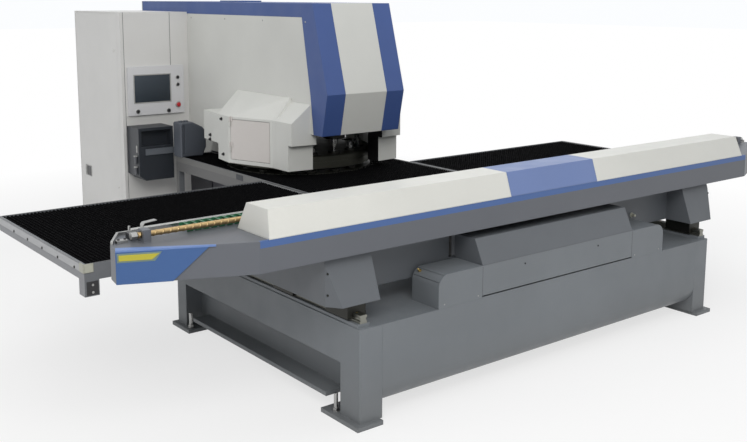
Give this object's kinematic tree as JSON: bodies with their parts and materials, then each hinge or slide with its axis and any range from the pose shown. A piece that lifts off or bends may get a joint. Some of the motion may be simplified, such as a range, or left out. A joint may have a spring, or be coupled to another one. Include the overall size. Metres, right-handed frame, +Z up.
{
  "type": "cnc turret punch press",
  "caption": "Sheet metal punching machine with a C-frame head over a tool turret, a fixed centre table, and a travelling beam with wing tables and sheet clamps.",
  "frame": {"origin": "on the floor, in the middle of the machine's plan", "axes": "+X along the cross beam to the right seen from the sheet side, +Y from the beam to the rear of the C-frame, +Z up"},
  "size_m": [5.4762, 5.23, 2.212],
  "materials": {
    "panel_white": "satin powder coat",
    "head_blue": "satin powder coat",
    "plate_blue": "satin powder coat",
    "frame_gray": "fine textured paint",
    "table_aluminium": "anodised rails",
    "brush_black": "brush field",
    "machined_steel": "ground and turned",
    "screw_gold": "oiled",
    "carrier_green": "moulded",
    "dark_box": "satin",
    "device_plastic": "moulded",
    "screen_glass": "dark display",
    "button_red": "glossy",
    "button_black": "satin"
  },
  "bodies": {
    "machine": {"air_unit_box": "dark_box", "base_deck": "frame_gray", "base_front_wall": "frame_gray", "base_side_left": "frame_gray", "base_side_right": "frame_gray", "center_table_brushes": "brush_black", "center_table_frame": "table_aluminium", "control_cabinet": "panel_white", "electrical_plate": "device_plastic", "head_cover_center": "panel_white", "head_cover_left": "head_blue", "head_cover_right": "head_blue", "leveling_bolts": "machined_steel", "main_frame": "frame_gray", "operator_panel": "panel_white", "operator_screen": "screen_glass", "ram_housing": "machined_steel", "rear_cover": "panel_white", "side_panel_left": "panel_white", "side_panel_right": "panel_white", "top_cover": "head_blue", "turret_cover_left": "panel_white", "turret_cover_right": "panel_white", "turret_drive_cover": "dark_box", "turret_shafts": "machined_steel", "y_drive_hood": "frame_gray", "y_drive_housing": "frame_gray", "y_drive_unit": "dark_box", "y_rails": "machined_steel"},
    "y_carriage": {"beam_cover_center": "plate_blue", "beam_cover_left": "panel_white", "beam_cover_right": "panel_white", "beam_end_covers": "head_blue", "cable_carrier": "carrier_green", "cross_beam": "frame_gray", "guide_blocks": "machined_steel", "underframe": "frame_gray", "wing_brushes": "brush_black", "wing_tables": "table_aluminium", "x_rails": "machined_steel"},
    "y_screw": {"y_ball_screw": "screw_gold"},
    "x_screw": {"x_ball_screw": "screw_gold"},
    "x_carriage": {"x_carriage": "machined_steel"},
    "clamp_left": {"clamp_left": "machined_steel"},
    "clamp_right": {"clamp_right": "machined_steel"},
    "jaw_left": {"jaw_left": "machined_steel"},
    "jaw_right": {"jaw_right": "machined_steel"},
    "upper_turret": {"upper_turret": "machined_steel", "punches": "machined_steel"},
    "active_punch": {"active_punch": "machined_steel"},
    "lower_turret": {"lower_turret": "machined_steel", "dies": "machined_steel"},
    "ram": {"striker": "machined_steel"},
    "tool_door": {"tool_door": "panel_white"},
    "cabinet_door": {"cabinet_door": "panel_white"},
    "estop": {"estop_button": "button_red"},
    "start_button": {"start_button": "button_black"},
    "stop_button": {"stop_button": "button_black"},
    "mode_knob": {"mode_knob": "button_black"},
    "feed_knob": {"feed_knob": "button_black"}
  },
  "joints": [
    {"name": "y_slide", "type": "slide", "parent": "machine", "child": "y_carriage", "axis": [0, 1, 0], "range_m": [0, 1.23]},
    {"name": "y_screw_spin", "type": "hinge", "parent": "machine", "child": "y_screw", "pos_m": [0, -1.5, 0.606], "axis": [0, 1, 0], "range_deg": [-11080, 0]},
    {"name": "x_slide", "type": "slide", "parent": "y_carriage", "child": "x_carriage", "axis": [1, 0, 0], "range_m": [-1.25, 1.25]},
    {"name": "x_screw_spin", "type": "hinge", "parent": "y_carriage", "child": "x_screw", "pos_m": [0, -2.17, 1.122], "axis": [1, 0, 0], "range_deg": [-11260, 11260]},
    {"name": "clamp_left_slide", "type": "slide", "parent": "x_carriage", "child": "clamp_left", "axis": [1, 0, 0], "range_m": [-0.11, 0.4]},
    {"name": "clamp_right_slide", "type": "slide", "parent": "x_carriage", "child": "clamp_right", "axis": [1, 0, 0], "range_m": [-0.4, 0.11]},
    {"name": "jaw_left_close", "type": "hinge", "parent": "clamp_left", "child": "jaw_left", "pos_m": [-0.52, -1.7997, 0.925], "axis": [-1, 0, 0], "range_deg": [0, 5], "stiffness_Nm_per_rad": 60, "springref_deg": -6.88},
    {"name": "jaw_right_close", "type": "hinge", "parent": "clamp_right", "child": "jaw_right", "pos_m": [0.52, -1.7997, 0.925], "axis": [-1, 0, 0], "range_deg": [0, 5], "stiffness_Nm_per_rad": 60, "springref_deg": -6.88},
    {"name": "upper_turret_spin", "type": "hinge", "parent": "machine", "child": "upper_turret", "pos_m": [0, 0.319, 0.95], "axis": [0, 0, 1], "continuous": true},
    {"name": "lower_turret_spin", "type": "hinge", "parent": "machine", "child": "lower_turret", "pos_m": [0, 0.319, 0.83], "axis": [0, 0, 1], "continuous": true},
    {"name": "ram_slide", "type": "slide", "parent": "machine", "child": "ram", "axis": [0, 0, -1], "range_m": [0, 0.03]},
    {"name": "active_punch_slide", "type": "slide", "parent": "upper_turret", "child": "active_punch", "axis": [0, 0, -1], "range_m": [0, 0.03], "stiffness_N_per_m": 2000, "springref_m": -0.02},
    {"name": "tool_door_swing", "type": "hinge", "parent": "machine", "child": "tool_door", "pos_m": [-0.67932, 0.29209, 1.12], "axis": [0, 0, -1], "range_deg": [0, 100]},
    {"name": "cabinet_door_swing", "type": "hinge", "parent": "machine", "child": "cabinet_door", "pos_m": [-1.014, 2.602, 1.1], "axis": [0, 0, -1], "range_deg": [0, 110]},
    {"name": "estop_press", "type": "slide", "parent": "machine", "child": "estop", "axis": [0, 1, 0], "range_m": [0, 0.006]},
    {"name": "start_press", "type": "slide", "parent": "machine", "child": "start_button", "axis": [0, 1, 0], "range_m": [0, 0.004], "stiffness_N_per_m": 500},
    {"name": "stop_press", "type": "slide", "parent": "machine", "child": "stop_button", "axis": [0, 1, 0], "range_m": [0, 0.004], "stiffness_N_per_m": 500},
    {"name": "mode_knob_turn", "type": "hinge", "parent": "machine", "child": "mode_knob", "pos_m": [-0.883, 1.55, 1.238], "axis": [0, 1, 0], "range_deg": [-45, 45]},
    {"name": "feed_knob_turn", "type": "hinge", "parent": "machine", "child": "feed_knob", "pos_m": [-0.587, 1.55, 1.229], "axis": [0, 1, 0], "range_deg": [-135, 135]}
  ],
  "couplings": [
    {"joint": "y_screw_spin", "follows": "y_slide", "rad_per_m": -157.08},
    {"joint": "x_screw_spin", "follows": "x_slide", "rad_per_m": -157.08},
    {"joint": "jaw_right_close", "follows": "jaw_left_close", "ratio": 1},
    {"joint": "lower_turret_spin", "follows": "upper_turret_spin", "ratio": 1},
    {"joint": "active_punch_slide", "follows": "ram_slide", "ratio": 1}
  ]
}
